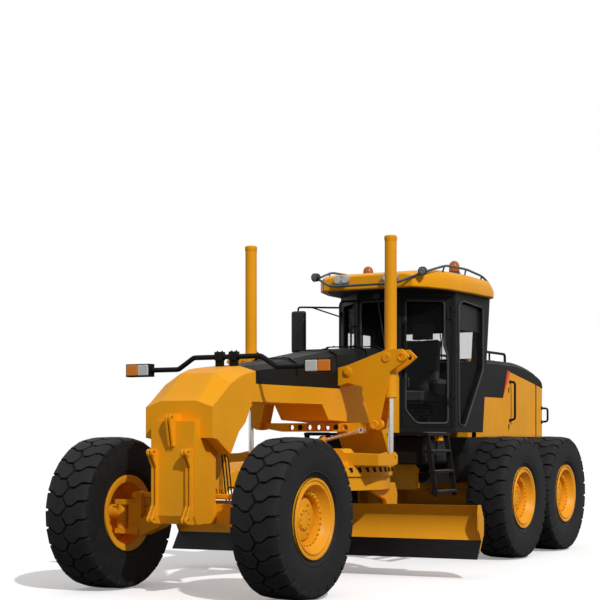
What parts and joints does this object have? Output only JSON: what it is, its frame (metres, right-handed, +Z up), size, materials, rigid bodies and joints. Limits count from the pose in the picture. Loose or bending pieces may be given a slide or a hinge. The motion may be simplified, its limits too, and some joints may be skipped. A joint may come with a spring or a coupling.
{
  "type": "motor grader",
  "caption": "Articulated road grader with a long goose-neck frame, a turning circle and blade, glazed cab and rear engine.",
  "frame": {"origin": "on the ground under the middle of the machine's length and width", "axes": "+X forward, +Y to the machine's left, +Z up"},
  "size_m": [8.934, 3.7074, 3.711],
  "materials": {
    "yellow_paint": "semi-gloss",
    "black_paint": "satin",
    "steel": "worn",
    "chrome": "polished",
    "tyre": "matte",
    "window": "clear",
    "amber": "gloss",
    "seat_cloth": "matte"
  },
  "bodies": {
    "front_frame": {"front_frame": "yellow_paint", "front_bolster": "yellow_paint", "frame_cowl": "black_paint", "light_bar": "black_paint", "front_axle": "yellow_paint", "swing_arms": "yellow_paint", "link_bar": "yellow_paint", "lift_barrels": "yellow_paint", "cab_shell": "black_paint", "cab_glass": "window", "cab_seat": "seat_cloth", "cab_console": "black_paint", "cab_roof": "yellow_paint", "roof_rail": "black_paint", "beacons": "amber", "cab_mirror": "black_paint", "ladders": "black_paint"},
    "rear_frame": {"rear_frame": "black_paint", "rear_bumper": "black_paint", "tandem_axle": "yellow_paint", "engine_hood": "yellow_paint", "engine_block": "black_paint", "hood_rails": "black_paint"},
    "lean_bar": {"lean_bar": "yellow_paint"},
    "drawbar": {"drawbar": "yellow_paint"},
    "shift_barrel": {"shift_barrel": "yellow_paint"},
    "shift_rod": {"shift_rod": "chrome"},
    "circle": {"circle": "yellow_paint"},
    "blade_carrier": {"blade_carrier": "yellow_paint"},
    "blade": {"moldboard": "yellow_paint", "cutting_edge": "steel", "blade_shift_rod": "chrome"},
    "lean_left": {"lean_housing_left": "yellow_paint"},
    "steer_left": {"knuckle_left": "yellow_paint"},
    "steer_barrel_left": {"steer_barrel_left": "yellow_paint"},
    "steer_rod_left": {"steer_rod_left": "chrome"},
    "lift_rod_left": {"lift_rod_left": "chrome"},
    "door_left": {"door_left": "black_paint", "door_glass_left": "window"},
    "wheel_front_left": {"rim_front_left": "yellow_paint", "tyre_front_left": "tyre"},
    "wheel_middle_left": {"rim_middle_left": "yellow_paint", "tyre_middle_left": "tyre"},
    "wheel_rear_left": {"rim_rear_left": "yellow_paint", "tyre_rear_left": "tyre"},
    "lean_right": {"lean_housing_right": "yellow_paint"},
    "steer_right": {"knuckle_right": "yellow_paint"},
    "steer_barrel_right": {"steer_barrel_right": "yellow_paint"},
    "steer_rod_right": {"steer_rod_right": "chrome"},
    "lift_rod_right": {"lift_rod_right": "chrome"},
    "door_right": {"door_right": "black_paint", "door_glass_right": "window"},
    "wheel_front_right": {"rim_front_right": "yellow_paint", "tyre_front_right": "tyre"},
    "wheel_middle_right": {"rim_middle_right": "yellow_paint", "tyre_middle_right": "tyre"},
    "wheel_rear_right": {"rim_rear_right": "yellow_paint", "tyre_rear_right": "tyre"}
  },
  "joints": [
    {"name": "articulation", "type": "hinge", "parent": "front_frame", "child": "rear_frame", "pos_m": [-1.0475, 0, 1.006], "axis": [0, 0, 1], "range_deg": [-20, 20]},
    {"name": "lean_bar_pin", "type": "hinge", "parent": "lean_left", "child": "lean_bar", "pos_m": [3.7025, 0.7, 0.95], "axis": [1, 0, 0], "range_deg": [-18, 18]},
    {"name": "drawbar_lift", "type": "hinge", "parent": "front_frame", "child": "drawbar", "pos_m": [3.4525, 0, 1], "axis": [0, 1, 0], "range_deg": [-25, 6.8]},
    {"name": "centre_shift_barrel", "type": "hinge", "parent": "drawbar", "child": "shift_barrel", "pos_m": [1.4025, -0.62, 1.3155], "axis": [0.822, 0.5469, -0.159], "range_deg": [-10.9, 40]},
    {"name": "centre_shift_rod", "type": "slide", "parent": "shift_barrel", "child": "shift_rod", "axis": [0, 0.9735, 0.2289], "range_m": [-0.108, 0.3965]},
    {"name": "circle_turn", "type": "hinge", "parent": "drawbar", "child": "circle", "pos_m": [1.2525, 0, 1.085], "axis": [0, 0, 1], "continuous": true},
    {"name": "blade_tip", "type": "hinge", "parent": "circle", "child": "blade_carrier", "pos_m": [0.95404, -0.03032, 0.35], "axis": [-0.1011, 0.9949, 0], "range_deg": [-5, 40]},
    {"name": "blade_side_shift", "type": "slide", "parent": "blade_carrier", "child": "blade", "axis": [0.1011, -0.9949, 0], "range_m": [-0.51, 0.66]},
    {"name": "lean_left", "type": "hinge", "parent": "front_frame", "child": "lean_left", "pos_m": [3.7025, 0.7, 0.6], "axis": [1, 0, 0], "range_deg": [-18, 18]},
    {"name": "steer_left", "type": "hinge", "parent": "lean_left", "child": "steer_left", "pos_m": [3.7025, 0.93, 0.73], "axis": [0, 0, 1], "range_deg": [-45, 45]},
    {"name": "steer_barrel_left_pin", "type": "hinge", "parent": "front_frame", "child": "steer_barrel_left", "pos_m": [3.5975, 0.16, 0.836], "axis": [1, 0, 0], "range_deg": [-5.4, 5.4]},
    {"name": "steer_rod_left_slide", "type": "slide", "parent": "steer_barrel_left", "child": "steer_rod_left", "axis": [0, 1, 0], "range_m": [-0.0672, 0.0672]},
    {"name": "lift_rod_left_slide", "type": "slide", "parent": "front_frame", "child": "lift_rod_left", "axis": [0, 0, 1], "range_m": [-0.939, 0.256]},
    {"name": "door_left_hinge", "type": "hinge", "parent": "front_frame", "child": "door_left", "pos_m": [-0.62488, 0.75884, 2.4], "axis": [0, 0, 1], "range_deg": [0, 80]},
    {"name": "wheel_front_left_spin", "type": "hinge", "parent": "steer_left", "child": "wheel_front_left", "pos_m": [3.7025, 1.07, 0.765], "axis": [0, 1, 0], "continuous": true},
    {"name": "wheel_middle_left_spin", "type": "hinge", "parent": "rear_frame", "child": "wheel_middle_left", "pos_m": [-1.6485, 1.07, 0.765], "axis": [0, 1, 0], "continuous": true},
    {"name": "wheel_rear_left_spin", "type": "hinge", "parent": "rear_frame", "child": "wheel_rear_left", "pos_m": [-3.1905, 1.07, 0.765], "axis": [0, 1, 0], "continuous": true},
    {"name": "lean_right", "type": "hinge", "parent": "front_frame", "child": "lean_right", "pos_m": [3.7025, -0.7, 0.6], "axis": [1, 0, 0], "range_deg": [-18, 18]},
    {"name": "steer_right", "type": "hinge", "parent": "lean_right", "child": "steer_right", "pos_m": [3.7025, -0.93, 0.73], "axis": [0, 0, 1], "range_deg": [-45, 45]},
    {"name": "steer_barrel_right_pin", "type": "hinge", "parent": "front_frame", "child": "steer_barrel_right", "pos_m": [3.5975, -0.16, 0.836], "axis": [1, 0, 0], "range_deg": [-5.4, 5.4]},
    {"name": "steer_rod_right_slide", "type": "slide", "parent": "steer_barrel_right", "child": "steer_rod_right", "axis": [0, 1, 0], "range_m": [-0.0672, 0.0672]},
    {"name": "lift_rod_right_slide", "type": "slide", "parent": "front_frame", "child": "lift_rod_right", "axis": [0, 0, 1], "range_m": [-0.939, 0.256]},
    {"name": "door_right_hinge", "type": "hinge", "parent": "front_frame", "child": "door_right", "pos_m": [-0.62488, -0.75884, 2.4], "axis": [0, 0, -1], "range_deg": [0, 80]},
    {"name": "wheel_front_right_spin", "type": "hinge", "parent": "steer_right", "child": "wheel_front_right", "pos_m": [3.7025, -1.07, 0.765], "axis": [0, 1, 0], "continuous": true},
    {"name": "wheel_middle_right_spin", "type": "hinge", "parent": "rear_frame", "child": "wheel_middle_right", "pos_m": [-1.6485, -1.07, 0.765], "axis": [0, 1, 0], "continuous": true},
    {"name": "wheel_rear_right_spin", "type": "hinge", "parent": "rear_frame", "child": "wheel_rear_right", "pos_m": [-3.1905, -1.07, 0.765], "axis": [0, 1, 0], "continuous": true}
  ],
  "couplings": [
    {"joint": "lean_bar_pin", "follows": "lean_left", "ratio": -1},
    {"joint": "lean_right", "follows": "lean_left", "ratio": 1},
    {"joint": "steer_right", "follows": "steer_left", "ratio": 1},
    {"joint": "centre_shift_barrel", "follows": "drawbar_lift", "ratio": -1.5998},
    {"joint": "centre_shift_rod", "follows": "drawbar_lift", "m_per_rad": -0.908},
    {"joint": "steer_barrel_left_pin", "follows": "lean_left", "ratio": 0.2987},
    {"joint": "steer_rod_left_slide", "follows": "steer_left", "m_per_rad": -0.0855},
    {"joint": "lift_rod_left_slide", "follows": "drawbar_lift", "m_per_rad": 2.15},
    {"joint": "steer_barrel_right_pin", "follows": "lean_left", "ratio": 0.2987},
    {"joint": "steer_rod_right_slide", "follows": "steer_left", "m_per_rad": -0.0855},
    {"joint": "lift_rod_right_slide", "follows": "drawbar_lift", "m_per_rad": 2.15}
  ]
}
